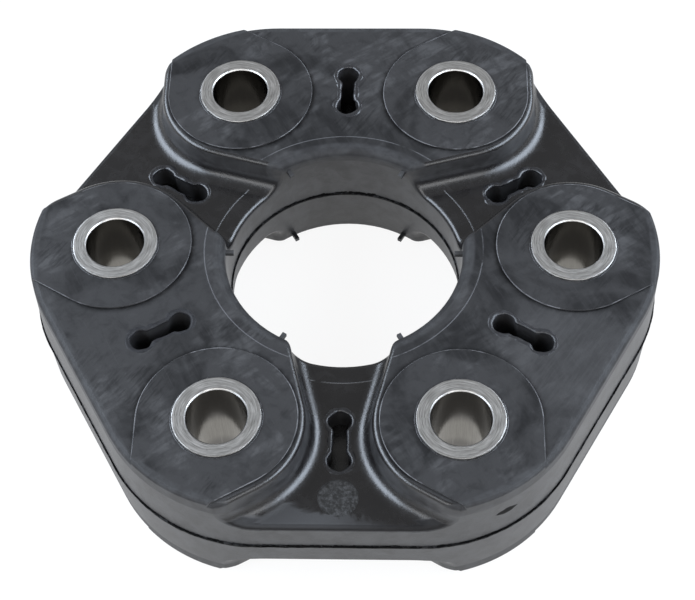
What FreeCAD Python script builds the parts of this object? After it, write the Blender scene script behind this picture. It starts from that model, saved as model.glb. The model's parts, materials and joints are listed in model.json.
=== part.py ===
import FreeCAD, Part
import math
import os
from FreeCAD import Vector

# Flexible disc joint for a vehicle's propeller shaft: six steel bushes on one bolt circle,
# tied together by endless cord loops and moulded into a hexagonal rubber disc.
# Three sectors between the bushes are thick and three are thin, on both faces alike.
# The origin is the disc's centre: the shaft axis is Z and the parting line lies at Z = 0.
# Both faces are alike but for the hole, which the lower half of the mould leaves a little wider.
# Each half is drawn upwards, and the lower one is then mirrored.
# Lengths are in millimetres and angles in degrees.

# Steel bushes and the circle that they stand on
BUSH_COUNT = 6
PITCH_RADIUS = 48.0
BORE_RADIUS = 6.05
BUSH_WALL = 2.85
BUSH_LENGTH = 31.0
BORE_CHAMFER = 0.45
BUSH_EDGE_CHAMFER = 0.2

# Cord loops, wound round neighbouring bushes, and the discs that hold them on
LOOP_THICKNESS = 3.4
LOOP_GAP = 0.6
LOOP_EDGE_CHAMFER = 0.5
COLLAR_THICKNESS = 1.2
COLLAR_OVERHANG = 1.4

# Rubber that covers the loops and the discs
OUTER_COVER = 8.1
CORNER_COVER = 6.0
INNER_COVER = 4.6
LAND_COVER = 3.7
COLLAR_COVER = 1.2
FLOOR_COVER = 1.9

# Faces of the moulding
LAND_SETBACK = 0.5
LAND_STEP = 0.4
LAND_FLARE = 30.0
LAND_MARGIN = 1.5
LAND_RIM_FILLET = 0.9
RECESS_DEPTH = 7.1
OUTER_DRAFT = 1.5
RECESS_DRAFT = 4.0
FLOOR_FILLET = 3.4
EDGE_FILLET = 1.3
EDGE_SHARE = 0.95
HOLE_STEP = 0.3
HOLE_UPPER_FILLET = 2.2
HOLE_LOWER_FILLET = 3.0

# Where a recess wall runs out at the rim or at the hole, beside a bush's own direction
RIM_MOUTH_RADIUS = 9.0
HOLE_MOUTH_RADIUS = 5.0
HOLE_MOUTH_TURN = 4.0
MOUTH_REST = 20.0

# Dog-bone pockets, one in the middle of each sector on either face
SLOT_END_COVER = 1.9
SLOT_SHIFT = 0.9
SLOT_LOBE_RADIUS = 2.6
SLOT_NECK_WIDTH = 3.4
SLOT_NECK_FILLET = 1.5
SLOT_RIM_FILLET = 0.7
SLOT_WEB = 3.0

# Marks of the mould: flash at the parting line, vent nubs and a round insert's face
FLASH_HEIGHT = 0.5
FLASH_REACH = 0.25
NUB_WIDTH = 0.9
NUB_REACH = 1.4
NUB_DROP = 2.4
INSERT_RADIUS = 4.0
INSERT_DEPTH = 0.15
INSERT_GAP = 1.7

# Sizes that follow from the ones above
SECTOR = 360.0 / BUSH_COUNT
HALF_SECTOR = SECTOR / 2
BUSH_RADIUS = BORE_RADIUS + BUSH_WALL
LOOP_RADIUS = BUSH_RADIUS + LOOP_THICKNESS
COLLAR_RADIUS = LOOP_RADIUS + COLLAR_OVERHANG
CHORD_DISTANCE = PITCH_RADIUS * math.cos(math.radians(HALF_SECTOR))
HALF_CHORD = PITCH_RADIUS * math.sin(math.radians(HALF_SECTOR))
FLAT_DISTANCE = CHORD_DISTANCE + LOOP_RADIUS + OUTER_COVER
CORNER_DISTANCE = PITCH_RADIUS + LOOP_RADIUS + CORNER_COVER
FLATNESS = math.cos(math.radians(HALF_SECTOR))
CORNER_ROUND = (FLAT_DISTANCE - CORNER_DISTANCE * FLATNESS) / (1 - FLATNESS)
HOLE_RADIUS = CHORD_DISTANCE - LOOP_RADIUS - INNER_COVER
LAND_RADIUS = LOOP_RADIUS + LAND_COVER
RECESS_RADIUS = LAND_RADIUS + LAND_MARGIN
BUSH_TOP = BUSH_LENGTH / 2
LAND_TOP = BUSH_TOP - LAND_SETBACK
RAISED_TOP = LAND_TOP - LAND_STEP
FLOOR_TOP = RAISED_TOP - RECESS_DEPTH
COLLAR_TOP = LAND_TOP - COLLAR_COVER
COLLAR_BASE = COLLAR_TOP - COLLAR_THICKNESS
MIDDLE_LOOP_TOP = FLOOR_TOP - FLOOR_COVER
OUTER_LOOP_BASE = MIDDLE_LOOP_TOP + LOOP_GAP
SLOT_CENTRE = CHORD_DISTANCE + SLOT_SHIFT
SLOT_HALF_LENGTH = BUSH_RADIUS - SLOT_END_COVER

AXIS = Vector(0, 0, 1)
BEYOND = 10.0
TOUCH = 0.01


def polar(radius, angle, height=0.0):
    """The point at this distance and direction from the shaft axis."""
    turn = math.radians(angle)
    return Vector(radius * math.cos(turn), radius * math.sin(turn), height)


def bush_angle(number):
    """Direction of a bush, where bush 0 lies on X."""
    return number * SECTOR


def sector_angle(number):
    """Direction of the sector between a bush and the next one."""
    return bush_angle(number) + HALF_SECTOR


THIN_SECTORS = [sector_angle(number) for number in range(0, BUSH_COUNT, 2)]
THICK_SECTORS = [sector_angle(number) for number in range(1, BUSH_COUNT, 2)]
BUSH_ANGLES = [bush_angle(number) for number in range(BUSH_COUNT)]
STAMPED_SECTOR = THIN_SECTORS[-1]


def turned(shape, angle):
    """A copy of the shape, turned about the shaft axis."""
    return shape.rotated(Vector(), AXIS, angle)


def mirrored(shape):
    """The same form on the other side of the parting line."""
    return shape.mirror(Vector(), AXIS)


def drum(radius, base, top, centre=Vector()):
    return Part.makeCylinder(radius, top - base, Vector(centre.x, centre.y, base), AXIS)


def arc_points(centre, radius, first, last):
    """The start, middle and end of an arc about centre, from one direction to another."""
    return [centre + polar(radius, angle) for angle in (first, (first + last) / 2, last)]


def arc_edge(centre, radius, first, last):
    return Part.Arc(*arc_points(centre, radius, first, last)).toShape()


def line_edge(start, end):
    return Part.LineSegment(start, end).toShape()


def outline(inset, height):
    """The disc's hexagonal outline with wide round corners, moved in by inset."""
    radius = CORNER_ROUND - inset
    edges = []
    for angle in BUSH_ANGLES:
        centre = polar(CORNER_DISTANCE - CORNER_ROUND, angle, height)
        next_centre = polar(CORNER_DISTANCE - CORNER_ROUND, angle + SECTOR, height)
        across = polar(radius, angle + HALF_SECTOR)
        edges.append(arc_edge(centre, radius, angle - HALF_SECTOR, angle + HALF_SECTOR))
        edges.append(line_edge(centre + across, next_centre + across))
    return Part.Wire(edges)


def blank(hole_radius):
    """The disc from the parting line up to its lands, with drafted sides and centre hole."""
    lean = LAND_TOP * math.tan(math.radians(OUTER_DRAFT))
    block = Part.makeLoft([outline(0, 0), outline(lean, LAND_TOP)], True, True)
    return block.cut(Part.makeCone(hole_radius, hole_radius + lean, LAND_TOP))


def land_prism(angle):
    """A flat round a bush: a circle whose two tangents close in towards the rim."""
    centre = polar(PITCH_RADIUS, angle)
    first = angle + 90 - LAND_FLARE
    last = angle + 270 + LAND_FLARE
    tip = centre + polar(LAND_RADIUS / math.sin(math.radians(LAND_FLARE)), angle)
    edges = [
        arc_edge(centre, LAND_RADIUS, first, last),
        line_edge(centre + polar(LAND_RADIUS, last), tip),
        line_edge(tip, centre + polar(LAND_RADIUS, first)),
    ]
    return Part.Face(Part.Wire(edges)).extrude(Vector(0, 0, LAND_TOP + BEYOND))


def direction(vector):
    """The vector's direction about the shaft axis, from 0 to 360 degrees."""
    return math.degrees(math.atan2(vector.y, vector.x)) % 360


def way_out(start, turn, centre, radius):
    """How far a line runs on from a point inside a circle until it leaves it."""
    offset = start - centre
    along = offset.dot(polar(1, turn))
    return math.sqrt(radius**2 - offset.Length**2 + along**2) - along


def mouth(corner, wall_turn, rim_turn, radius, widening):
    """A wall's last arc, which turns most of the way into the rim, and the line on past the rim."""
    bend = rim_turn - wall_turn
    side = math.copysign(1, bend)
    setback = radius * math.tan(math.radians(abs(bend) / 2))
    centre = corner - polar(setback, wall_turn) + polar(radius, wall_turn + side * 90)
    first = wall_turn - side * 90
    last = first + bend - side * MOUTH_REST
    arc = arc_points(centre, radius + widening, first, last)
    return [arc, [arc[-1], arc[-1] + polar(BEYOND, last + side * 90)]]


def recess_side(widening, height):
    """One side of a thin sector's recess, about direction zero, from past the rim into the hole.

    Each piece is a list of points: two for a line and three for an arc.
    """
    centre = polar(PITCH_RADIUS, HALF_SECTOR, height)
    rim_turn = HALF_SECTOR + LAND_FLARE
    rim_start = centre + polar(RECESS_RADIUS, rim_turn - 90)
    round_centre = polar(CORNER_DISTANCE - CORNER_ROUND, HALF_SECTOR, height)
    reach = way_out(rim_start, rim_turn, round_centre, CORNER_ROUND)
    rim_corner = rim_start + polar(reach, rim_turn)
    along_rim = direction(rim_corner - round_centre) + 90
    hole_corner = polar(HOLE_RADIUS, HALF_SECTOR - HOLE_MOUTH_TURN, height)
    to_hole = hole_corner - centre
    hole_turn = direction(to_hole) - math.degrees(math.asin(RECESS_RADIUS / to_hole.Length))
    along_hole = HALF_SECTOR - HOLE_MOUTH_TURN + 90
    rim_mouth = mouth(rim_corner, rim_turn, along_rim, RIM_MOUTH_RADIUS, widening)
    hole_mouth = mouth(hole_corner, hole_turn, along_hole, HOLE_MOUTH_RADIUS, widening)
    arc = arc_points(centre, RECESS_RADIUS + widening, rim_turn - 90, hole_turn - 270)
    rim_end = rim_mouth[-1][-1]
    return [
        [Vector(FLAT_DISTANCE + BEYOND, rim_end.y, height), rim_end],
        *[points[::-1] for points in rim_mouth[::-1]],
        [rim_mouth[0][0], arc[0]],
        arc,
        [arc[-1], hole_mouth[0][0]],
        *hole_mouth,
    ]


def recess_wire(widening, height):
    """The recess's outline: one side, its mirror image and a line across at either end."""
    side = recess_side(widening, height)
    other = [[Vector(p.x, -p.y, p.z) for p in points[::-1]] for points in side[::-1]]
    pieces = [*side, [side[-1][-1], other[0][0]], *other, [other[-1][-1], side[0][0]]]
    edges = [line_edge(*p) if len(p) == 2 else Part.Arc(*p).toShape() for p in pieces]
    return Part.Wire(edges)


def floor_ledge():
    """The recess floor's width beside the pocket's neck, where the recess is narrowest."""
    half_gap = HALF_CHORD - RECESS_RADIUS - RECESS_DEPTH * math.tan(math.radians(RECESS_DRAFT))
    return half_gap - SLOT_NECK_WIDTH / 2


def rim_fillet_radius():
    """The pocket rim's fillet, which takes no more than a third of the ledge."""
    return min(SLOT_RIM_FILLET, floor_ledge() / 3)


def floor_fillet_radius():
    """The recess floor's fillet, which fits on the ledge beside the pocket's rim."""
    room = floor_ledge() - rim_fillet_radius() - TOUCH
    return min(FLOOR_FILLET, room / math.tan(math.radians((90 - RECESS_DRAFT) / 2)))


def edge_fillet_radius():
    """The outer edges' fillet, which stays under the floor's, because the two run into each other."""
    return min(EDGE_FILLET, EDGE_SHARE * floor_fillet_radius())


def recess_block():
    """What the mould keeps free over a thin sector, about direction zero."""
    slope = math.tan(math.radians(RECESS_DRAFT))
    bottom = recess_wire(RECESS_DEPTH * slope, FLOOR_TOP)
    top = recess_wire(-BEYOND * slope, RAISED_TOP + BEYOND)
    block = Part.makeLoft([bottom, top], True, True)
    bushes = [polar(PITCH_RADIUS, side * HALF_SECTOR, FLOOR_TOP) for side in (1, -1)]
    radius = RECESS_RADIUS + RECESS_DEPTH * slope
    walls = []
    for edge in block.Edges:
        for centre in bushes:
            if all(abs((vertex.Point - centre).Length - radius) < TOUCH for vertex in edge.Vertexes):
                walls.append(edge)
    return block.makeFillet(floor_fillet_radius(), walls)


def face_normal(face, point):
    return face.normalAt(*face.Surface.parameter(point))


def sharp_edges(shape, wanted):
    """The shape's sharp edges whose middle point is wanted."""
    found = []
    for edge in shape.Edges:
        middle = edge.valueAt((edge.FirstParameter + edge.LastParameter) / 2)
        faces = shape.ancestorsOfType(edge, Part.Face)
        if len(faces) != 2 or not wanted(middle):
            continue
        bend = face_normal(faces[0], middle).getAngle(face_normal(faces[1], middle))
        if bend > TOUCH:
            found.append(edge)
    return found


def pocket(angle):
    """A dog-bone pocket down to the web that it leaves at the parting line."""
    top = RAISED_TOP + BEYOND
    base = SLOT_WEB / 2
    lobe_shift = SLOT_HALF_LENGTH - SLOT_LOBE_RADIUS
    inner = drum(SLOT_LOBE_RADIUS, base, top, polar(SLOT_CENTRE - lobe_shift, 0))
    outer = drum(SLOT_LOBE_RADIUS, base, top, polar(SLOT_CENTRE + lobe_shift, 0))
    corner = Vector(SLOT_CENTRE - lobe_shift, -SLOT_NECK_WIDTH / 2, base)
    neck = Part.makeBox(2 * lobe_shift, SLOT_NECK_WIDTH, top - base, corner)
    bone = neck.fuse([inner, outer]).removeSplitter()
    upright = sharp_edges(bone, lambda point: base + TOUCH < point.z < top - TOUCH)
    return turned(bone.makeFillet(SLOT_NECK_FILLET, upright), angle)


def near_slot(point):
    """True within a pocket's own outline, whichever sector it lies in."""
    for angle in THIN_SECTORS + THICK_SECTORS:
        local = FreeCAD.Rotation(AXIS, -angle).multVec(point)
        within_length = abs(local.x - SLOT_CENTRE) < SLOT_HALF_LENGTH + TOUCH
        if within_length and abs(local.y) < SLOT_LOBE_RADIUS + TOUCH:
            return True
    return False


def from_axis(point):
    return math.hypot(point.x, point.y)


def layer(base, top):
    """A slab that reaches past the whole disc."""
    return drum(CORNER_DISTANCE + BEYOND, base, top)


def land(angle, disc):
    """The raised land round a bush, which reaches the rim with an edge of its own."""
    body = disc.common(land_prism(angle)).common(layer(RAISED_TOP - 2 * EDGE_FILLET, LAND_TOP))
    rim_start = PITCH_RADIUS + LAND_RADIUS
    rim = sharp_edges(body, lambda point: point.z > LAND_TOP - TOUCH and from_axis(point) > rim_start)
    return body.makeFillet(LAND_RIM_FILLET, rim)


def nub(angle):
    """A vent nub on the hole's wall."""
    top = RAISED_TOP - NUB_DROP
    corner = Vector(HOLE_RADIUS - NUB_REACH, -NUB_WIDTH / 2, top - NUB_WIDTH)
    bar = Part.makeBox(NUB_REACH + 2 * NUB_WIDTH, NUB_WIDTH, NUB_WIDTH, corner)
    return turned(bar, angle)


def half_moulding(hole_radius, hole_fillet):
    """Half of the moulding, still solid inside."""
    disc = blank(hole_radius)
    half = disc.common(layer(0, RAISED_TOP))
    hole_rim = sharp_edges(half, lambda point: point.z > TOUCH and from_axis(point) < PITCH_RADIUS)
    half = half.makeFillet(hole_fillet, hole_rim)
    block = recess_block()
    half = half.cut([turned(block, angle) for angle in THIN_SECTORS])
    outer = sharp_edges(half, lambda point: point.z > TOUCH)
    half = half.makeFillet(edge_fillet_radius(), outer)
    half = half.cut([pocket(angle) for angle in THIN_SECTORS + THICK_SECTORS])
    rims = sharp_edges(half, lambda point: point.z > SLOT_WEB and near_slot(point))
    half = half.makeFillet(rim_fillet_radius(), rims)
    lands = [land(angle, disc) for angle in BUSH_ANGLES]
    return half.fuse(lands + [nub(angle) for angle in BUSH_ANGLES])


def flash():
    """The thin fin of rubber that the mould's halves leave along the parting line."""
    plate = Part.Face(outline(-FLASH_REACH, -FLASH_HEIGHT / 2)).extrude(Vector(0, 0, FLASH_HEIGHT))
    return plate.cut(drum(HOLE_RADIUS - FLASH_REACH, -FLASH_HEIGHT, FLASH_HEIGHT))


def insert_mark():
    """The shallow round face that the mould's insert leaves beside one pocket."""
    distance = SLOT_CENTRE + SLOT_HALF_LENGTH + INSERT_GAP + INSERT_RADIUS
    return drum(INSERT_RADIUS, FLOOR_TOP - INSERT_DEPTH, LAND_TOP, polar(distance, STAMPED_SECTOR))


def moulding():
    """The whole rubber form, solid inside."""
    upper = half_moulding(HOLE_RADIUS, HOLE_UPPER_FILLET)
    lower = half_moulding(HOLE_RADIUS + HOLE_STEP, HOLE_LOWER_FILLET)
    form = upper.fuse([mirrored(lower), flash()]).removeSplitter()
    return form.cut(insert_mark())


def bush(angle):
    """A turned steel bush, chamfered inside and out."""
    tube = drum(BUSH_RADIUS, -BUSH_TOP, BUSH_TOP).cut(drum(BORE_RADIUS, -BUSH_TOP, BUSH_TOP))
    ends = [edge for edge in tube.Edges if edge.Closed]
    inner = [edge for edge in ends if edge.Curve.Radius < (BORE_RADIUS + BUSH_RADIUS) / 2]
    outer = [edge for edge in ends if edge.Curve.Radius > (BORE_RADIUS + BUSH_RADIUS) / 2]
    tube = tube.makeChamfer(BORE_CHAMFER, inner).makeChamfer(BUSH_EDGE_CHAMFER, outer)
    tube.translate(polar(PITCH_RADIUS, angle))
    return tube


def collar(angle):
    """The upper disc on a bush, which keeps the loops from sliding off."""
    centre = polar(PITCH_RADIUS, angle)
    disc = drum(COLLAR_RADIUS, COLLAR_BASE, COLLAR_TOP, centre)
    return disc.cut(drum(BUSH_RADIUS, COLLAR_BASE, COLLAR_TOP, centre))


def racetrack(radius, base, top):
    """A block round two neighbouring bushes, about direction zero."""
    ends = [polar(PITCH_RADIUS, side * HALF_SECTOR, base) for side in (1, -1)]
    edges = [
        arc_edge(ends[0], radius, 0, 180),
        line_edge(ends[0] + polar(radius, 180), ends[1] + polar(radius, 180)),
        arc_edge(ends[1], radius, 180, 360),
        line_edge(ends[1] + polar(radius, 0), ends[0] + polar(radius, 0)),
    ]
    return Part.Face(Part.Wire(edges)).extrude(Vector(0, 0, top - base))


def cord_loop(angle, base, top):
    """An endless cord loop round the two bushes of a sector, with its outer edges taken off."""
    block = racetrack(LOOP_RADIUS, base, top)
    eased = block.makeChamfer(LOOP_EDGE_CHAMFER, sharp_edges(block, lambda point: True))
    return turned(eased.cut(racetrack(BUSH_RADIUS, base, top)), angle)


def held_pieces():
    """Every piece that the rubber is moulded round, by name."""
    pieces = {}
    for number, angle in enumerate(BUSH_ANGLES, 1):
        pieces[f"bush_{number}"] = bush(angle)
        pieces[f"collar_top_{number}"] = collar(angle)
        pieces[f"collar_bottom_{number}"] = mirrored(collar(angle))
    for number, angle in enumerate(THICK_SECTORS, 1):
        loop = cord_loop(angle, OUTER_LOOP_BASE, COLLAR_BASE)
        pieces[f"cord_loop_upper_{number}"] = loop
        pieces[f"cord_loop_lower_{number}"] = mirrored(loop)
    for number, angle in enumerate(THIN_SECTORS, 1):
        pieces[f"cord_loop_middle_{number}"] = cord_loop(angle, -MIDDLE_LOOP_TOP, MIDDLE_LOOP_TOP)
    return pieces


def bush_seats():
    """Plain round holes through the rubber, one for each bush."""
    return [drum(BUSH_RADIUS, -LAND_TOP, LAND_TOP, polar(PITCH_RADIUS, angle)) for angle in BUSH_ANGLES]


def rubber_body(pieces):
    """The moulding with room for the bushes, discs and loops that it is bonded to."""
    inside = [piece for name, piece in pieces.items() if not name.startswith("bush")]
    return moulding().cut(bush_seats() + inside)


def main():
    os.makedirs("parts", exist_ok=True)
    pieces = held_pieces()
    pieces["rubber_body"] = rubber_body(pieces)
    for name, piece in pieces.items():
        piece.exportStep(f"parts/{name}.step")
        print(name, piece.ShapeType, len(piece.Solids), piece.isValid(), round(piece.Volume, 1))


main()
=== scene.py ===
import json
import math
from types import SimpleNamespace

import bmesh
import bpy
from mathutils import Matrix, Vector, noise


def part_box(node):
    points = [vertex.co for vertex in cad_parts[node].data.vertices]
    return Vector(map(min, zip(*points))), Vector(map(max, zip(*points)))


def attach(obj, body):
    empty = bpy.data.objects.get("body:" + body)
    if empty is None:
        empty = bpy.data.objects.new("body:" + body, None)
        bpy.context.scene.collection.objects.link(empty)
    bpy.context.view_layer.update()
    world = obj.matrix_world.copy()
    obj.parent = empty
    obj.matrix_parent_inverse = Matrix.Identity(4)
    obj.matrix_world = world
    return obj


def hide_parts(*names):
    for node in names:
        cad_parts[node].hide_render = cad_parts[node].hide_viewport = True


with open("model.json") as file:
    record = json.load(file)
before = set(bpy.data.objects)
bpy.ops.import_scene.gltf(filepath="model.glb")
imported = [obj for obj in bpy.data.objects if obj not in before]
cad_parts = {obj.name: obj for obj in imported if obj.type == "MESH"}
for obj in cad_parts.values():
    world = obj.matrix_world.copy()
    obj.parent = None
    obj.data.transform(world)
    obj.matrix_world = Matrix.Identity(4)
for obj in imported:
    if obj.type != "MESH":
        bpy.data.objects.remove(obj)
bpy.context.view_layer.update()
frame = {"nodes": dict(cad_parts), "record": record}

# A flexible disc joint: a moulded rubber disc with six turned steel bushes, on a pale floor.
# The rubber keeps its solid. The bushes get turned end faces, and thin pieces of rubber add what
# the mould left on the disc: a ragged parting line, torn pocket rims and beads round the lands.
# Lengths with a name that ends in _MM are in millimetres, and so are all paths and sections of
# pieces. They become metres where a mesh or a node gets them.

MM = 0.001

# Places and sizes of the moulding
BUSH_COUNT = 6
SECTOR = 360 / BUSH_COUNT
THIN_ANGLES = [30, 150, 270]
THICK_ANGLES = [90, 210, 330]
HALVES = (("upper", 1), ("lower", -1))
BOLT_CIRCLE = frame["record"]["mounts"][0]["dims"]
BORE_RADIUS_MM = BOLT_CIRCLE["hole_r_mm"]
PITCH_RADIUS_MM = BOLT_CIRCLE["pcd_mm"] / 2
BUSH_LOW, BUSH_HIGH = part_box("bush_1")
BUSH_RADIUS_MM = (BUSH_HIGH.y - BUSH_LOW.y) / 2 / MM
BUSH_TOP_MM = BUSH_HIGH.z / MM
BODY_HIGH_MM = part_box("rubber_body")[1] / MM
LAND_TOP_MM = BODY_HIGH_MM.z
RAISED_TOP_MM = LAND_TOP_MM - 0.4
FLOOR_TOP_MM = RAISED_TOP_MM - 7.1
LAND_RADIUS_MM = 16.0
# Degrees by which a land's arc goes on past its half circle, at either end
LAND_FLARE = 30.0
FLAT_DISTANCE_MM = 61.97
CORNER_DISTANCE_MM = 66.3
HOLE_RADIUS_MM = 24.67
SLOT_CENTRE_MM = 42.47
SLOT_HALF_LENGTH_MM = 7.0
SLOT_LOBE_RADIUS_MM = 2.6
SLOT_NECK_HALF_MM = 1.7
WITNESS_RADIUS_MM = 29.2
INSERT_RADIUS_MM = 4.0
INSERT_DISTANCE_MM = 55.17

# The wide round corners of the outline, which meet its six straight sides smoothly
CORNER_STRETCH = 1 / math.cos(math.radians(SECTOR / 2))
CORNER_RADIUS_MM = (FLAT_DISTANCE_MM * CORNER_STRETCH - CORNER_DISTANCE_MM) / (CORNER_STRETCH - 1)
CORNER_CENTRE_MM = CORNER_DISTANCE_MM - CORNER_RADIUS_MM

# Marks of turning, moulding and use, and where painted shade and a lighter patch lie
BORE_CHAMFER_MM = 0.29
RIM_CHAMFER_MM = 0.2
FLASH_REACH_MM = 0.36
FLASH_STEP_MM = 0.4
LAND_BEAD_INSET_MM = 0.7
# Where the painted shade beside the lands ends, as a distance from the axis
LAND_SHADE_END_MM = 57.5
POCKET_RIM_MM = 9.0
# A lighter patch on the right-hand thick sector
LIGHTER_PATCH_DISTANCE_MM = 54
LIGHTER_PATCH_END_MM = 20
LIGHTER_PATCH_FULL_MM = 13
GOUGE_CENTRE_MM = Vector((32.9, -57.5, 7.4))
GOUGE_ALONG = Vector((0.868, 0.496, 0.05))
GOUGE_HALF_LENGTH_MM = 2.6
GOUGE_HALF_HEIGHT_MM = 1.1

# Colours of the rubber, some of them painted shade
LAND_GREY = (0.0145, 0.0140, 0.0145)
SMEAR_GREY = (0.0270, 0.0262, 0.0268)
# This grey darkens real stains, and it also paints shade in a band beside the lands
STAIN_AND_SHADE_GREY = (0.0016, 0.0016, 0.0018)
FLOOR_BLACK = (0.0042, 0.0038, 0.0040)
FLOOR_GREY = (0.0075, 0.0068, 0.0070)
DUST_GREY = (0.024, 0.024, 0.025)
STAMP_BLACK = (0.0045, 0.0045, 0.0045)
STAMP_GREY = (0.040, 0.040, 0.041)
WALL_GREY = (0.030, 0.030, 0.031)
LINE_GREY = (0.075, 0.075, 0.078)
# Painted shade: the shadow under the parting flash and the shade of a gouge
PAINTED_SHADE_BLACK = (0.004, 0.004, 0.004)

# How strongly the rubber mirrors, as the shader's specular level
LAND_SHEEN = 0.33
SMEAR_SHEEN = 0.43
# This level serves real stains and also the painted shade beside the lands
STAIN_AND_SHADE_SHEEN = 0.12
PLAIN_SHEEN = 0.5
FILLET_SHEEN = 0.20
LOW_RIM_SHEEN = 0.16
# The painted shade of the parting line and the gouge gets this low level
PAINTED_SHADE_SHEEN = 0.02

# Camera: the photograph's own view
FOCAL_PX = 1676.469
FRAME_WIDTH_PX = 695
SENSOR_MM = 36.0
CAMERA_AZIMUTH = 3.23
CAMERA_ELEVATION = 56.706
CAMERA_ROLL = -2.377
CAMERA_DISTANCE_MM = 342.675
TARGET_MM = (1.162, -14.206)


def polar(radius, angle, height=0.0):
    """The point at this distance and direction from the shaft axis."""
    turn = math.radians(angle)
    return Vector((radius * math.cos(turn), radius * math.sin(turn), height))


def bush_centre(number, height=0.0):
    """The middle of a bush, where the first one has the number 0."""
    return polar(PITCH_RADIUS_MM, number * SECTOR, height)


# Nodes

def set_inputs(tree, node, inputs):
    """Gives a node its inputs by name or number, each a plain value or another node's socket."""
    for key, value in inputs.items():
        if isinstance(value, bpy.types.NodeSocket):
            tree.links.new(value, node.inputs[key])
        else:
            node.inputs[key].default_value = value


def add(tree, kind, inputs=None, **settings):
    """A new node with its settings and inputs."""
    node = tree.nodes.new(kind)
    for key, value in settings.items():
        setattr(node, key, value)
    set_inputs(tree, node, inputs or {})
    return node


def calc(tree, operation, first, second=0.0, third=0.0):
    """One step of arithmetic."""
    return add(tree, "ShaderNodeMath", {0: first, 1: second, 2: third}, operation=operation).outputs[0]


def product(tree, first, *others):
    """All the values multiplied together."""
    for other in others:
        first = calc(tree, "MULTIPLY", first, other)
    return first


def total(tree, first, *others):
    """All the values added together."""
    for other in others:
        first = calc(tree, "ADD", first, other)
    return first


def centred(tree, value, size):
    """Noise between 0 and 1 made to swing about zero, over this size in all."""
    return product(tree, calc(tree, "SUBTRACT", value, 0.5), size)


def band(tree, value, low, high):
    """0 below low, 1 above high and smooth between them. It falls where low is the greater."""
    return add(tree, "ShaderNodeMapRange", {"Value": value, "From Min": low, "From Max": high},
               interpolation_type="SMOOTHSTEP").outputs[0]


def band_mm(tree, length, low_mm, high_mm):
    """A band over a length, with its limits in millimetres."""
    return band(tree, length, low_mm * MM, high_mm * MM)


def parts(tree, vector):
    """A vector's x, y and z."""
    return add(tree, "ShaderNodeSeparateXYZ", {0: vector}).outputs


def combine(tree, x, y):
    """The vector (x, y, 0)."""
    return add(tree, "ShaderNodeCombineXYZ", {0: x, 1: y}).outputs[0]


def offset(tree, place, centre_mm):
    """The way from a centre to each place."""
    inputs = {0: place, 1: tuple(centre_mm * MM)}
    return add(tree, "ShaderNodeVectorMath", inputs, operation="SUBTRACT").outputs[0]


def distance(tree, place, centre_mm):
    """How far each place lies from a centre."""
    inputs = {0: place, 1: tuple(centre_mm * MM)}
    return add(tree, "ShaderNodeVectorMath", inputs, operation="DISTANCE").outputs["Value"]


def nearest(tree, place, centres_mm):
    """How far each place lies from the nearest of several centres."""
    least = distance(tree, place, centres_mm[0])
    for centre_mm in centres_mm[1:]:
        least = calc(tree, "MINIMUM", least, distance(tree, place, centre_mm))
    return least


def reach_along(tree, vector, direction):
    """How far a vector goes in this direction."""
    inputs = {0: vector, 1: tuple(direction)}
    return add(tree, "ShaderNodeVectorMath", inputs, operation="DOT_PRODUCT").outputs["Value"]


def axis_distance(tree, place):
    """How far a place, given by its parts, lies from the Z axis."""
    x, y = place[0], place[1]
    return calc(tree, "SQRT", total(tree, product(tree, x, x), product(tree, y, y)))


def noise_at(tree, vector, scale, detail, roughness, distortion=0.0):
    """A noise texture's value, between 0 and 1."""
    inputs = {"Vector": vector, "Scale": scale, "Detail": detail,
              "Roughness": roughness, "Distortion": distortion}
    return add(tree, "ShaderNodeTexNoise", inputs).outputs["Fac"]


def cloud(tree, coords, feature_mm, detail=4.0, roughness=0.55, distortion=0.0):
    """Noise whose features are about this many millimetres across."""
    return noise_at(tree, coords, 1 / (feature_mm * MM), detail, roughness, distortion)


def streaks(tree, coords, length_mm, width_mm, turn, detail=3.0):
    """Noise drawn out along one direction in the disc's plane."""
    stretched = add(tree, "ShaderNodeMapping", {
        "Vector": coords,
        "Rotation": (0, 0, math.radians(turn)),
        "Scale": (length_mm * MM, width_mm * MM, width_mm * MM),
    }, vector_type="TEXTURE").outputs[0]
    return noise_at(tree, stretched, 1.0, detail, 0.6)


def mix_value(tree, factor, first, second):
    """From the first value at factor 0 to the second at 1."""
    return add(tree, "ShaderNodeMix", {0: factor, 2: first, 3: second}).outputs[0]


def mix_colour(tree, factor, first, second):
    """From the first colour to the second, each (red, green, blue) or another node's socket."""
    ends = [end if isinstance(end, bpy.types.NodeSocket) else (*end, 1.0) for end in (first, second)]
    return add(tree, "ShaderNodeMix", {0: factor, 6: ends[0], 7: ends[1]}, data_type="RGBA").outputs[2]


def bump(tree, height, distance_mm):
    """A normal that makes the surface look raised, by this distance where the height is 1."""
    inputs = {"Height": height, "Distance": distance_mm * MM, "Strength": 1.0}
    return add(tree, "ShaderNodeBump", inputs).outputs[0]


def new_material(name):
    """A material, its node tree, its shader and the object's own coordinates."""
    material = bpy.data.materials.new(name)
    material.use_nodes = True
    tree = material.node_tree
    shader = tree.nodes["Principled BSDF"]
    coords = add(tree, "ShaderNodeTexCoord").outputs["Object"]
    return material, tree, shader, coords


# The rubber body's material

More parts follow.
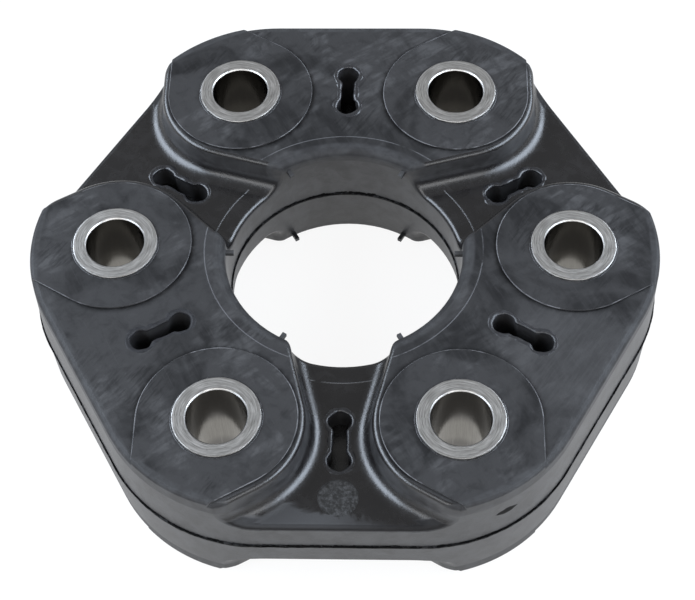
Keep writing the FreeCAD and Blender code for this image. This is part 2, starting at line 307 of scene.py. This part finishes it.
def rubber_fields(tree, coords):
    """What the rubber's marks follow: where a place lies, how it faces, and noise that they share."""
    place = parts(tree, coords)
    normal = add(tree, "ShaderNodeNewGeometry").outputs["Normal"]
    plan = combine(tree, place[0], place[1])
    return SimpleNamespace(
        coords=coords,
        x=place[0],
        y=place[1],
        z=place[2],
        plan=plan,
        height=calc(tree, "ABSOLUTE", place[2]),
        facing=calc(tree, "ABSOLUTE", parts(tree, normal)[2]),
        from_axis=axis_distance(tree, place),
        to_bush=nearest(tree, plan, [bush_centre(number) for number in range(BUSH_COUNT)]),
        to_front_pocket=nearest(tree, plan, [polar(SLOT_CENTRE_MM, angle) for angle in THICK_ANGLES[1:]]),
        patches=cloud(tree, coords, 13, 6, 0.62, 0.9),
        mottle=cloud(tree, coords, 3.2, 7, 0.66, 0.5),
    )


def rim_masks(tree, at):
    """The edges of the raised faces at the outline and the hole, and the floors' edge at the outline."""
    outline = band_mm(tree, at.from_axis, CORNER_DISTANCE_MM - 2.6, CORNER_DISTANCE_MM - 2.0)
    for angle in THIN_ANGLES[:2] + THICK_ANGLES[:1]:
        reach = calc(tree, "ABSOLUTE", reach_along(tree, at.coords, polar(1, angle)))
        flat = band_mm(tree, reach, FLAT_DISTANCE_MM - 2.4, FLAT_DISTANCE_MM - 1.9)
        outline = calc(tree, "MAXIMUM", outline, flat)
    off_floor = calc(tree, "ABSOLUTE", calc(tree, "SUBTRACT", at.height, (FLOOR_TOP_MM - 0.4) * MM))
    low_rim = product(tree, outline, band_mm(tree, off_floor, 1.7, 1.4),
                      band(tree, at.facing, 0.99, 0.95), band(tree, at.facing, 0.1, 0.4))
    hole = band_mm(tree, at.from_axis, HOLE_RADIUS_MM + 3.2, HOLE_RADIUS_MM + 2.4)
    rim = product(tree, calc(tree, "MAXIMUM", outline, hole),
                  band_mm(tree, at.height, RAISED_TOP_MM - 3.4, RAISED_TOP_MM - 2.8))
    return rim, low_rim


def face_wear_and_shade(tree, at, smear):
    """Colour and sheen of the raised faces: smeared, stained, rubbed and scratched, with painted shade in
    a band beside the lands' steps, and lighter in one sector.
    """
    wiped = streaks(tree, at.coords, 12, 2.6, -62)
    hatched = streaks(tree, at.coords, 4.5, 0.6, 55, 3)
    scratched = streaks(tree, at.coords, 9, 0.22, 118, 2)
    stain = product(tree, band(tree, cloud(tree, at.coords, 19, 5, 0.52, 0.9), 0.47, 0.63),
                    mix_value(tree, band(tree, wiped, 0.36, 0.60), 0.55, 1.0))
    rubbed = product(tree, band(tree, cloud(tree, at.coords, 11, 2, 0.5, 0.6), 0.54, 0.66),
                     band(tree, hatched, 0.46, 0.60))
    spots = band(tree, at.mottle, 0.46, 0.70)
    # Painted shade: a dark band just outside each land's step, where its shadow would fall
    painted_shade_beside_land = product(tree, band_mm(tree, at.to_bush, LAND_RADIUS_MM - 0.1, LAND_RADIUS_MM + 0.1),
                          band_mm(tree, at.to_bush, LAND_RADIUS_MM + 1.5, LAND_RADIUS_MM + 0.2),
                          band_mm(tree, at.from_axis, LAND_SHADE_END_MM, LAND_SHADE_END_MM - 1.5),
                          band(tree, at.mottle, 0.30, 0.55))
    colour = mix_colour(tree, smear, LAND_GREY, SMEAR_GREY)
    sheen = mix_value(tree, smear, LAND_SHEEN, SMEAR_SHEEN)
    # The band beside the lands is painted shade; the stains, rubbed patches and spots are marks on the
    # rubber
    for mask, share in ((stain, 0.66), (rubbed, 0.38), (spots, 0.32), (painted_shade_beside_land, 0.60)):
        part = product(tree, mask, share)
        colour = mix_colour(tree, part, colour, STAIN_AND_SHADE_GREY)
        sheen = mix_value(tree, part, sheen, STAIN_AND_SHADE_SHEEN)
    scratches = product(tree, band(tree, scratched, 0.64, 0.74), 0.45)
    colour = mix_colour(tree, scratches, colour, SMEAR_GREY)
    # The right-hand thick sector is made lighter and glossier here
    off_lighter_patch = total(tree, distance(tree, at.plan, polar(LIGHTER_PATCH_DISTANCE_MM, THICK_ANGLES[-1])),
                     product(tree, at.patches, 8 * MM))
    lighter_patch = product(tree, band_mm(tree, off_lighter_patch, LIGHTER_PATCH_END_MM, LIGHTER_PATCH_FULL_MM),
                   mix_value(tree, band(tree, hatched, 0.35, 0.65), 0.62, 0.42),
                   band_mm(tree, at.to_bush, LAND_RADIUS_MM - 0.1, LAND_RADIUS_MM + 0.6))
    return mix_colour(tree, lighter_patch, colour, SMEAR_GREY), mix_value(tree, lighter_patch, sheen, SMEAR_SHEEN)


def dust_mask(tree, at):
    """Dust on the front recess's floor and edge. Its limit is wavy, and it thins out to the right."""
    limit = total(tree, product(tree, at.y, -1.0), product(tree, at.patches, 12 * MM))
    limit = calc(tree, "SUBTRACT", limit, product(tree, at.x, 0.16))
    edge = product(tree, band_mm(tree, at.y, 3.0 - FLAT_DISTANCE_MM, 2.0 - FLAT_DISTANCE_MM),
                   band(tree, at.facing, 0.45, 0.85))
    return product(tree, band_mm(tree, limit, 64.1, 65.3), band_mm(tree, at.x, 14, -6),
                   calc(tree, "MAXIMUM", band(tree, at.facing, 0.90, 0.99), edge))


def parting_shadow_mark(tree, at, torn):
    """Painted shadow under the parting flash: a dark band, which wanders up and down and has torn edges.
    """
    wander = centred(tree, cloud(tree, at.coords, 6, 2), 1.2 * MM)
    gap = calc(tree, "ABSOLUTE", total(tree, at.z, wander))
    return band_mm(tree, total(tree, gap, centred(tree, torn, 1.9 * MM)), 0.64, 0.48)


def gouge_shade_mark(tree, at, torn):
    """Painted shade of a slanting gouge in the front right wall, as a dark mark alone: the wall has no
    hollow there.
    """
    way = offset(tree, at.coords, GOUGE_CENTRE_MM)
    along = calc(tree, "DIVIDE", reach_along(tree, way, GOUGE_ALONG), GOUGE_HALF_LENGTH_MM * MM)
    across = calc(tree, "DIVIDE", calc(tree, "ABSOLUTE", parts(tree, way)[2]), GOUGE_HALF_HEIGHT_MM * MM)
    reach = total(tree, product(tree, along, along), across, centred(tree, torn, 0.8))
    this_wall = band_mm(tree, distance(tree, at.coords, GOUGE_CENTRE_MM), 5.0, 4.5)
    return product(tree, band(tree, reach, 1.05, 0.75), this_wall)


def moulded_rubber():
    """Matte and smeared on the raised faces, near-black in the recesses, satin on the sides, with painted
    shade along the parting line, at a gouge and beside the lands.
    """
    material, tree, shader, coords = new_material("moulded_rubber")
    at = rubber_fields(tree, coords)
    level = band(tree, at.facing, 0.93, 0.985)
    raised = band_mm(tree, at.height, RAISED_TOP_MM - 0.7, RAISED_TOP_MM - 0.2)
    matte = product(tree, level, raised)
    upright = band(tree, at.facing, 0.5, 0.2)
    rim, low_rim = rim_masks(tree, at)
    soft_rim = product(tree, raised, band_mm(tree, at.to_front_pocket, POCKET_RIM_MM, POCKET_RIM_MM - 0.5))
    fillet = product(tree, rim, band(tree, at.facing, 0.15, 0.45), band(tree, at.facing, 0.995, 0.96))
    dust = dust_mask(tree, at)
    insert_centre = polar(INSERT_DISTANCE_MM, THIN_ANGLES[-1], FLOOR_TOP_MM)
    stamp = band_mm(tree, distance(tree, coords, insert_centre),
                    INSERT_RADIUS_MM + 0.15, INSERT_RADIUS_MM - 0.1)
    off_ring = calc(tree, "ABSOLUTE", calc(tree, "SUBTRACT", at.from_axis, WITNESS_RADIUS_MM * MM))
    witness = product(tree, band_mm(tree, off_ring, 0.17, 0.05), band(tree, at.patches, 0.36, 0.50), level)
    torn = cloud(tree, coords, 1.6, 5, 0.7, 0.8)
    # Both marks are painted shade: the shadow under the parting flash, and the shade of a gouge
    marks = (parting_shadow_mark(tree, at, torn), gouge_shade_mark(tree, at, torn))

    brushed = streaks(tree, coords, 9, 1.8, 35)
    smear = product(tree, band(tree, at.patches, 0.46, 0.62), band(tree, brushed, 0.38, 0.62))
    # The raised faces' colour holds real wear and also the painted shade beside the lands
    worn, film = face_wear_and_shade(tree, at, smear)
    speckle = cloud(tree, coords, 0.7, 5, 0.75)
    stamped = mix_colour(tree, band(tree, speckle, 0.42, 0.68), STAMP_BLACK, STAMP_GREY)
    floor = mix_colour(tree, band(tree, at.mottle, 0.40, 0.75), FLOOR_BLACK, FLOOR_GREY)
    floor = mix_colour(tree, product(tree, dust, 0.85), floor, DUST_GREY)
    floor = mix_colour(tree, stamp, floor, stamped)
    blotches = band(tree, at.mottle, 0.35, 0.7)
    wall = mix_colour(tree, blotches, WALL_GREY, LAND_GREY)
    wall = mix_colour(tree, product(tree, band(tree, at.patches, 0.5, 0.7), 0.5), wall, STAIN_AND_SHADE_GREY)
    base = mix_colour(tree, matte, floor, worn)
    base = mix_colour(tree, upright, base, wall)
    base = mix_colour(tree, rim, base, mix_colour(tree, blotches, LAND_GREY, WALL_GREY))
    base = mix_colour(tree, product(tree, witness, 0.8), base, LINE_GREY)
    # The painted shade darkens the colour here
    for mark in marks:
        base = mix_colour(tree, mark, base, PAINTED_SHADE_BLACK)

    floor_roughness = mix_value(tree, band(tree, at.mottle, 0.4, 0.7), 0.25, 0.32)
    floor_roughness = mix_value(tree, dust, floor_roughness, 0.60)
    roughness = mix_value(tree, matte, floor_roughness, mix_value(tree, smear, 0.56, 0.70))
    roughness = mix_value(tree, stamp, roughness, mix_value(tree, speckle, 0.25, 0.6))
    roughness = mix_value(tree, upright, roughness, 0.42)
    for edge in (calc(tree, "MAXIMUM", rim, low_rim), soft_rim):
        roughness = mix_value(tree, edge, roughness, 0.58)

    sheen = mix_value(tree, calc(tree, "MAXIMUM", fillet, soft_rim), PLAIN_SHEEN, FILLET_SHEEN)
    sheen = mix_value(tree, low_rim, sheen, LOW_RIM_SHEEN)
    # The painted shade also takes the sheen away
    sheen = mix_value(tree, calc(tree, "MAXIMUM", *marks), sheen, PAINTED_SHADE_SHEEN)

    grain = cloud(tree, coords, 0.45, 3, 0.6)
    relief = total(tree, product(tree, at.mottle, 0.35), product(tree, grain, 0.25),
                   product(tree, witness, 1.2))
    set_inputs(tree, shader, {
        "Base Color": base,
        "Roughness": roughness,
        "IOR": 1.56,
        "Specular IOR Level": mix_value(tree, matte, sheen, film),
        "Normal": bump(tree, relief, 0.09),
    })
    return material


# The other materials

def rubber_edge(name, roughness, sheen):
    """Rubber that was torn or squeezed thin: darker, and glossy or worn dull."""
    material, tree, shader, coords = new_material(name)
    mottle = cloud(tree, coords, 1.1, 4, 0.6, 0.6)
    set_inputs(tree, shader, {
        "Base Color": mix_colour(tree, mottle, (0.005, 0.005, 0.006), (0.022, 0.022, 0.024)),
        "Roughness": mix_value(tree, mottle, *roughness),
        "Specular IOR Level": sheen,
        "Normal": bump(tree, mottle, 0.05),
    })
    return material


def torn_flash_painted_shade():
    """The thin torn fin along the parting line, matte and painted nearly black as the shadow under the
    flash.
    """
    material, tree, shader, coords = new_material("torn_flash_painted_shade")
    torn = cloud(tree, coords, 0.9, 5, 0.7, 0.8)
    ragged_edge = band(tree, torn, 0.45, 0.70)
    set_inputs(tree, shader, {
        "Base Color": mix_colour(tree, ragged_edge, (0.0015, 0.0015, 0.0015), (0.012, 0.012, 0.013)),
        "Roughness": mix_value(tree, torn, 0.45, 0.75),
        "Specular IOR Level": mix_value(tree, ragged_edge, 0.04, 0.30),
        "Normal": bump(tree, torn, 0.25),
    })
    return material


def pressed_edge():
    """The thin flash round a land, painted light in places as a highlight line, and dark in others."""
    material, tree, shader, coords = new_material("pressed_edge")
    # Where this mask is high, the light colour is a painted highlight line
    rubbed = band(tree, cloud(tree, coords, 9, 4, 0.6, 0.8), 0.44, 0.60)
    set_inputs(tree, shader, {
        "Base Color": mix_colour(tree, rubbed, (0.010, 0.010, 0.011), (0.085, 0.085, 0.088)),
        "Roughness": mix_value(tree, rubbed, 0.34, 0.55),
        "Normal": bump(tree, cloud(tree, coords, 0.6, 3), 0.05),
    })
    return material


def turned_steel(centre_mm):
    """Steel with the lathe's rings on its end faces and drawn marks along its bore, which is painted
    darker towards its mouths as painted shade.
    """
    material, tree, shader, coords = new_material("turned_steel")
    place = parts(tree, offset(tree, coords, centre_mm))
    radius = axis_distance(tree, place)
    turn = calc(tree, "ARCTAN2", place[1], place[0])
    ring_place = combine(tree, product(tree, radius, 1 / MM), product(tree, turn, 0.35))
    rings = noise_at(tree, ring_place, 5.0, 3.0, 0.7)
    drawn_place = combine(tree, product(tree, turn, 6.0), product(tree, place[2], 40.0))
    drawn = noise_at(tree, drawn_place, 3.0, 4.0, 0.65)
    inside = band_mm(tree, radius, BORE_RADIUS_MM + 0.1, BORE_RADIUS_MM + 0.02)
    marks = mix_value(tree, inside, rings, drawn)

    face = mix_colour(tree, band(tree, marks, 0.3, 0.7), (0.235, 0.230, 0.220), (0.58, 0.567, 0.548))
    spots = product(tree, band(tree, cloud(tree, coords, 0.8, 5, 0.7, 0.4), 0.6, 0.75), 0.5)
    face = mix_colour(tree, spots, face, (0.17, 0.165, 0.155))
    middle = mix_colour(tree, band(tree, drawn, 0.35, 0.65), (0.20, 0.192, 0.176), (0.235, 0.227, 0.208))
    # Painted shade: the bore is painted darker towards both its mouths
    shaded_mouth = mix_colour(tree, band(tree, drawn, 0.55, 0.72), (0.135, 0.130, 0.122), (0.20, 0.195, 0.185))
    toward_shaded_mouth = band_mm(tree, calc(tree, "ABSOLUTE", place[2]), 2.5, 6.0)
    bore = mix_colour(tree, toward_shaded_mouth, middle, shaded_mouth)
    set_inputs(tree, shader, {
        "Base Color": mix_colour(tree, inside, face, bore),
        "Metallic": 1.0,
        "Roughness": mix_value(tree, inside, mix_value(tree, marks, 0.30, 0.46), 0.13),
        "Normal": bump(tree, marks, 0.02),
    })
    return material


def rolled_steel():
    """Cold-rolled sheet, for the discs that the rubber hides."""
    material, tree, shader, coords = new_material("rolled_steel")
    rolled = streaks(tree, coords, 14, 0.5, 20)
    spots = cloud(tree, coords, 2.5, 5, 0.65)
    stained = product(tree, band(tree, spots, 0.55, 0.7), 0.5)
    base = mix_colour(tree, rolled, (0.32, 0.32, 0.32), (0.47, 0.47, 0.46))
    set_inputs(tree, shader, {
        "Base Color": mix_colour(tree, stained, base, (0.20, 0.19, 0.18)),
        "Metallic": 1.0,
        "Roughness": mix_value(tree, spots, 0.30, 0.50),
        "Normal": bump(tree, rolled, 0.02),
    })
    return material


def wound_cord():
    """Dipped cord, wound turn upon turn, with painted shade in the grooves between turns, for the loops
    that the rubber hides.
    """
    material, tree, shader, coords = new_material("wound_cord")
    cord_mm = 0.7
    wander = product(tree, cloud(tree, coords, 6, 2), 0.5 * MM)
    turns = product(tree, total(tree, parts(tree, coords)[2], wander), 2 * math.pi / (cord_mm * MM))
    turns = calc(tree, "MULTIPLY_ADD", calc(tree, "SINE", turns), 0.5, 0.5)
    fibre = cloud(tree, coords, 0.3, 4, 0.7, 0.5)
    # Painted shade: the colour is darker in the grooves between turns, just where the bump is lower
    base = mix_colour(tree, turns, (0.22, 0.15, 0.09), (0.50, 0.38, 0.25))
    set_inputs(tree, shader, {
        "Base Color": mix_colour(tree, product(tree, fibre, 0.4), base, (0.12, 0.09, 0.06)),
        "Roughness": mix_value(tree, fibre, 0.65, 0.90),
        "Normal": bump(tree, total(tree, turns, fibre), 0.12),
    })
    return material


def floor_material():
    """Pale, and white to the camera and in reflections, but still dimmed by the object's shadow."""
    material = bpy.data.materials.new("floor")
    material.use_nodes = True
    tree = material.node_tree
    tree.nodes.clear()
    path = add(tree, "ShaderNodeLightPath").outputs
    seen = total(tree, path["Is Camera Ray"], path["Is Glossy Ray"], path["Is Transmission Ray"])
    share = product(tree, calc(tree, "MINIMUM", seen, 1.0), 0.90)
    matte = add(tree, "ShaderNodeBsdfDiffuse", {"Color": (0.86, 0.86, 0.86, 1)}).outputs[0]
    glow = add(tree, "ShaderNodeEmission", {"Color": (1, 1, 1, 1), "Strength": 1.0}).outputs[0]
    both = add(tree, "ShaderNodeMixShader", {0: share, 1: matte, 2: glow}).outputs[0]
    add(tree, "ShaderNodeOutputMaterial", {"Surface": both})
    return material


# Paths

def ragged(point, size, seed):
    """Smooth noise between about -1 and 1, whose bumps are about size long, all in millimetres."""
    return noise.noise(point / size + Vector((seed * 7.31, seed * 3.17, seed * 5.53)))


def arc_points(centre, radius, first, last, step):
    """Points along an arc, from one direction to another, about a step apart."""
    length = abs(math.radians(last - first)) * radius
    count = max(2, round(length / step))
    return [centre + polar(radius, first + (last - first) * i / count) for i in range(count + 1)]


def circle_points(centre, radius, step):
    """Points round a whole circle, each of them once."""
    return arc_points(centre, radius, 0, 360, step)[:-1]


def line_points(start, end, step):
    """Points along a straight line, about a step apart."""
    count = max(2, round((end - start).length / step))
    return [start.lerp(end, i / count) for i in range(count + 1)]


def outline_points(step):
    """The disc's outline at the parting line: six straight sides and six wide round corners."""
    points = []
    for number in range(BUSH_COUNT):
        angle = number * SECTOR
        centre = polar(CORNER_CENTRE_MM, angle)
        following = polar(CORNER_CENTRE_MM, angle + SECTOR)
        outwards = polar(CORNER_RADIUS_MM, angle + SECTOR / 2)
        points += arc_points(centre, CORNER_RADIUS_MM, angle - SECTOR / 2, angle + SECTOR / 2, step)[:-1]
        points += line_points(centre + outwards, following + outwards, step)[:-1]
    return points


def outside_distance(point):
    """How far a point lies outside the disc's outline at the parting line. Inside it is negative."""
    angle = math.degrees(math.atan2(point.y, point.x))
    from_corner = abs((angle + SECTOR / 2) % SECTOR - SECTOR / 2)
    radius = math.hypot(point.x, point.y)
    way = polar(radius, from_corner) - polar(CORNER_CENTRE_MM, 0)
    if math.degrees(math.atan2(way.y, way.x)) <= SECTOR / 2:
        return way.length - CORNER_RADIUS_MM
    return radius * math.cos(math.radians(SECTOR / 2 - from_corner)) - FLAT_DISTANCE_MM


def slot_outline(growth):
    """A dog-bone pocket's outline about direction zero, grown all round."""
    step = 0.35
    lobe = SLOT_LOBE_RADIUS_MM + growth
    shift = SLOT_HALF_LENGTH_MM - SLOT_LOBE_RADIUS_MM
    opening = math.degrees(math.asin((SLOT_NECK_HALF_MM + growth) / lobe))
    outer = arc_points(polar(SLOT_CENTRE_MM + shift, 0), lobe, opening - 180, 180 - opening, step)
    inner = arc_points(polar(SLOT_CENTRE_MM - shift, 0), lobe, opening, 360 - opening, step)
    return (outer + line_points(outer[-1], inner[0], step)[1:-1]
            + inner + line_points(inner[-1], outer[0], step)[1:-1])


def within_body(point):
    """The point, moved in where it lies past the rubber's own width or depth."""
    x = max(-BODY_HIGH_MM.x, min(BODY_HIGH_MM.x, point.x))
    y = max(-BODY_HIGH_MM.y, min(BODY_HIGH_MM.y, point.y))
    return Vector((x, y, point.z))


# Pieces

def new_piece(name, rings, material, smooth_angle, closed=True):
    """A piece of the root body, as a skin over rings of points.

    The last ring joins the first one, or else both ends are capped.
    """
    bm = bmesh.new()
    layers = [[bm.verts.new(point * MM) for point in ring] for ring in rings]
    following = layers[1:] + layers[:1] if closed else layers[1:]
    for layer, other in zip(layers, following):
        for i in range(len(layer)):
            j = (i + 1) % len(layer)
            bm.faces.new((layer[i], layer[j], other[j], other[i]))
    if not closed:
        bm.faces.new(layers[0])
        bm.faces.new(layers[-1])
    bmesh.ops.recalc_face_normals(bm, faces=bm.faces)
    mesh = bpy.data.meshes.new(name)
    bm.to_mesh(mesh)
    bm.free()
    for face in mesh.polygons:
        face.use_smooth = True
    mesh.set_sharp_from_angle(angle=math.radians(smooth_angle))
    piece = bpy.data.objects.new(name, mesh)
    bpy.context.scene.collection.objects.link(piece)
    piece.data.materials.append(material)
    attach(piece, "root")
    return piece


def coat(piece, material):
    """Gives a solid this material and no other."""
    piece.data.materials.clear()
    piece.data.materials.append(material)


def bush_profile(number):
    """A bush's upper half as (radius, height, whether the burr lifts it), from its bore outwards."""
    steps = 24
    groove_depth = 0.007
    top = BUSH_TOP_MM
    inner = BORE_RADIUS_MM + BORE_CHAMFER_MM
    outer = BUSH_RADIUS_MM - RIM_CHAMFER_MM
    profile = [(BORE_RADIUS_MM, 0.0, False), (BORE_RADIUS_MM, top - 0.32, False),
               (BORE_RADIUS_MM + 0.03, top - 0.27, False), (inner - 0.05, top - 0.05, False)]
    for step in range(steps + 1):
        groove = groove_depth * (1 + math.sin(step * 2.4)) * (0.6 + 0.4 * math.sin(step * 0.71 + number))
        profile.append((inner + (outer - inner) * step / steps, top - groove, False))
    return profile + [(outer + 0.12, top - 0.05, True), (BUSH_RADIUS_MM, top - 0.17, True),
                      (BUSH_RADIUS_MM, top - 0.30, False), (BUSH_RADIUS_MM, 0.0, False)]


def turned_bush(number):
    """A bush as the lathe leaves it: chamfered bore, fine rings on the end faces, a ragged burr."""
    segments = 128
    burr_height = 0.09
    centre = bush_centre(number)
    upper = bush_profile(number)
    whole = upper + [(radius, -height, burr) for radius, height, burr in reversed(upper[1:-1])]
    rings = []
    for segment in range(segments):
        angle = 360 * segment / segments
        ring = []
        for radius, height, burr in whole:
            point = centre + polar(radius, angle, height)
            if burr:
                lift = max(0.0, ragged(point, 1.6, number + 1)) * burr_height
                point += polar(lift, angle, math.copysign(lift * 0.3, height))
            ring.append(point)
        rings.append(ring)
    piece = new_piece(f"turned_bush_{number + 1}", rings, turned_steel(centre), smooth_angle=25)
    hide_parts(f"bush_{number + 1}")


def bead(name, path, material, closed, width, height, wobble, seed):
    """A low irregular bead of rubber along a path, half sunk in what it lies on."""
    sides = 8
    last = len(path) - 1
    rings = []
    for i, point in enumerate(path):
        before = path[i - 1] if closed or i > 0 else point
        after = path[(i + 1) % len(path)] if closed or i < last else point
        along = (after - before).normalized()
        across = along.cross(Vector((0, 0, 1))).normalized()
        size = 1 + wobble * ragged(point, 2.0, seed) + 0.2 * wobble * ragged(point, 0.6, seed + 1)
        fade = 1.0 if closed else min(1.0, 0.15 + min(i, last - i) / 4)
        shift = across * wobble * width * 0.4 * ragged(point, 2.2, seed + 2)
        ring = []
        for side in range(sides):
            turn = 2 * math.pi * side / sides
            out = across * width * size * fade * math.cos(turn)
            up = Vector((0, 0, height * size * fade * math.sin(turn)))
            ring.append(point + shift + out + up)
        rings.append(ring)
    new_piece(name, rings, material, smooth_angle=80, closed=closed)


def land_bead(number, material):
    """The fine flash that the mould's insert leaves round a land's edge and on to the rim."""
    step = 0.5
    run_out = 20.5
    sunk = 0.06
    centre = bush_centre(number, LAND_TOP_MM - sunk)
    first = number * SECTOR + 90 - LAND_FLARE
    last = number * SECTOR + 270 + LAND_FLARE
    arc = arc_points(centre, LAND_RADIUS_MM, first, last, step)
    run_in = line_points(arc[0] + polar(run_out, first - 90), arc[0], step)[:-1]
    path = run_in + arc + line_points(arc[-1], arc[-1] + polar(run_out, last + 90), step)[1:]
    kept = [point for point in path if outside_distance(point) < -LAND_BEAD_INSET_MM]
    bead(f"land_bead_{number + 1}", kept, material, closed=False,
         width=0.11, height=0.10, wobble=0.35, seed=number)


def slot_lip(sector, half, side, material, number):
    """The torn rim of a pocket, a little higher than the face round it."""
    growth = 0.28
    sunk = 0.42
    face = RAISED_TOP_MM if sector in THICK_ANGLES else FLOOR_TOP_MM
    turn = Matrix.Rotation(math.radians(sector), 3, "Z")
    lift = Vector((0, 0, side * (face - sunk)))
    path = [turn @ point + lift for point in slot_outline(growth)]
    bead(f"pocket_lip_{half}_{number}", path, material, closed=True,
         width=0.66, height=0.50, wobble=0.40, seed=number + 11 * side)


def bush_lip(number, half, side, material):
    """Rubber that crept up against a bush."""
    growth = 0.16
    sunk = 0.02
    centre = bush_centre(number, side * (LAND_TOP_MM - sunk))
    path = circle_points(centre, BUSH_RADIUS_MM + growth, FLASH_STEP_MM)
    bead(f"bush_lip_{half}_{number + 1}", path, material, closed=True,
         width=0.20, height=0.10, wobble=0.8, seed=number + 40 * side)


def parting_flash(name, path, material, outward, seed):
    """The ragged fin of rubber along the parting line. It hides the even fin below it."""
    inside = -0.3
    foot = 0.03
    rings = []
    for i, point in enumerate(path):
        along = (path[(i + 1) % len(path)] - path[i - 1]).normalized()
        across = along.cross(Vector((0, 0, 1))) * outward
        torn = ragged(point, 2.4, seed) + 0.6 * ragged(point, 0.7, seed + 1)
        reach = FLASH_REACH_MM * max(0.74, min(1.0, 0.86 + 0.22 * torn))
        swell = 0.5 + ragged(point, 8.0, seed + 6)
        above = ragged(point, 1.7, seed + 2) + 0.5 * ragged(point, 0.6, seed + 4)
        below = ragged(point, 2.1, seed + 3) + 0.5 * ragged(point, 0.8, seed + 5) + swell
        top = 0.30 + 0.28 * max(-0.5, above)
        low = -0.32 - 0.30 * max(-0.5, below)
        section = [(inside, top), (foot, top), (reach, top * 0.5),
                   (reach * 0.9, low * 0.5), (foot, low), (inside, low)]
        rings.append([within_body(point + across * out + Vector((0, 0, up))) for out, up in section])
    new_piece(name, rings, material, smooth_angle=30)


# Stage

def area_lamp(name, place, size, radiance, colour):
    """A soft rectangular lamp that faces the object, with its radiance where 1 is white."""
    data = bpy.data.lights.new(name, "AREA")
    data.shape = "RECTANGLE"
    data.size, data.size_y = size
    data.energy = radiance * math.pi * size[0] * size[1]
    data.color = colour
    lamp = bpy.data.objects.new(name, data)
    bpy.context.scene.collection.objects.link(lamp)
    lamp.location = place
    lamp.rotation_mode = "QUATERNION"
    lamp.rotation_quaternion = (-Vector(place)).to_track_quat("-Z", "Y")


def studio_world():
    """White to the camera, and otherwise a pale room that is a little darker overhead."""
    world = bpy.data.worlds.new("studio")
    bpy.context.scene.world = world
    world.use_nodes = True
    tree = world.node_tree
    tree.nodes.clear()
    direction = add(tree, "ShaderNodeTexCoord").outputs["Generated"]
    upwards = band(tree, parts(tree, direction)[2], 0.35, 0.75)
    room = mix_value(tree, upwards, 0.55, 0.42)
    path = add(tree, "ShaderNodeLightPath").outputs
    strength = mix_value(tree, path["Is Camera Ray"], room, 1.0)
    sky = add(tree, "ShaderNodeBackground", {"Color": (1, 1, 1, 1), "Strength": strength}).outputs[0]
    add(tree, "ShaderNodeOutputWorld", {"Surface": sky})


def stage():
    """The floor under the lower bush ends, the room and three lamps, in metres."""
    bpy.ops.mesh.primitive_plane_add(size=6, location=(0, 0, -BUSH_TOP_MM * MM))
    floor = bpy.context.object
    floor.name = "floor"
    floor.data.materials.append(floor_material())
    studio_world()
    cool = (0.76, 0.86, 1.0)
    neutral = (0.97, 0.98, 1.0)
    area_lamp("softbox_left", (-0.62, 0.05, 0.44), (1.1, 0.36), 10.0, cool)
    area_lamp("softbox_right", (0.62, 0.05, 0.44), (1.1, 0.36), 10.0, cool)
    area_lamp("softbox_front", (0.0, -0.62, 0.46), (1.2, 0.30), 3.5, neutral)


def camera():
    """The photograph's camera, turned about its own axis by a small roll."""
    azimuth = math.radians(CAMERA_AZIMUTH)
    elevation = math.radians(CAMERA_ELEVATION)
    roll = math.radians(CAMERA_ROLL)
    back = Vector((math.sin(azimuth) * math.cos(elevation), -math.cos(azimuth) * math.cos(elevation),
                   math.sin(elevation)))
    level_right = Vector((math.cos(azimuth), math.sin(azimuth), 0))
    level_up = back.cross(level_right)
    right = math.cos(roll) * level_right + math.sin(roll) * level_up
    up = math.cos(roll) * level_up - math.sin(roll) * level_right
    data = bpy.data.cameras.new("camera")
    data.sensor_width = SENSOR_MM
    data.lens = FOCAL_PX * SENSOR_MM / FRAME_WIDTH_PX
    data.clip_start = 0.01
    view = bpy.data.objects.new("camera", data)
    bpy.context.scene.collection.objects.link(view)
    target = Vector((*TARGET_MM, BUSH_TOP_MM)) * MM
    place = target + back * CAMERA_DISTANCE_MM * MM
    view.matrix_world = Matrix.Translation(place) @ Matrix((right, up, back)).transposed().to_4x4()
    bpy.context.scene.camera = view


# The object and its stage

body = frame["nodes"]["rubber_body"]
coat(body, moulded_rubber())

collar_steel = rolled_steel()
loop_cord = wound_cord()
for name, node in frame["nodes"].items():
    if name.startswith("collar"):
        coat(node, collar_steel)
    elif name.startswith("cord_loop"):
        coat(node, loop_cord)

edge = rubber_edge("rubber_edge", (0.20, 0.36), 0.5)
worn_edge = rubber_edge("worn_edge", (0.32, 0.46), 0.45)
dull_edge = rubber_edge("dull_edge", (0.48, 0.62), 0.22)
front_edges = {THICK_ANGLES[1]: dull_edge, THICK_ANGLES[2]: worn_edge}
# The land beads are painted light in places as a highlight line
pressed = pressed_edge()
# The parting flash is painted nearly black as the shadow under it
flash = torn_flash_painted_shade()

for number in range(BUSH_COUNT):
    turned_bush(number)
    land_bead(number, pressed)
    for half, side in HALVES:
        bush_lip(number, half, side, edge)
for number, sector in enumerate(THIN_ANGLES + THICK_ANGLES, 1):
    for half, side in HALVES:
        slot_lip(sector, half, side, front_edges.get(sector, edge), number)
outline = outline_points(FLASH_STEP_MM)
hole = circle_points(Vector(), HOLE_RADIUS_MM, FLASH_STEP_MM)
parting_flash("parting_flash_outer", outline, flash, outward=1, seed=3)
parting_flash("parting_flash_hole", hole, flash, outward=-1, seed=8)

stage()
camera()
bpy.context.scene.view_settings.view_transform = "Standard"
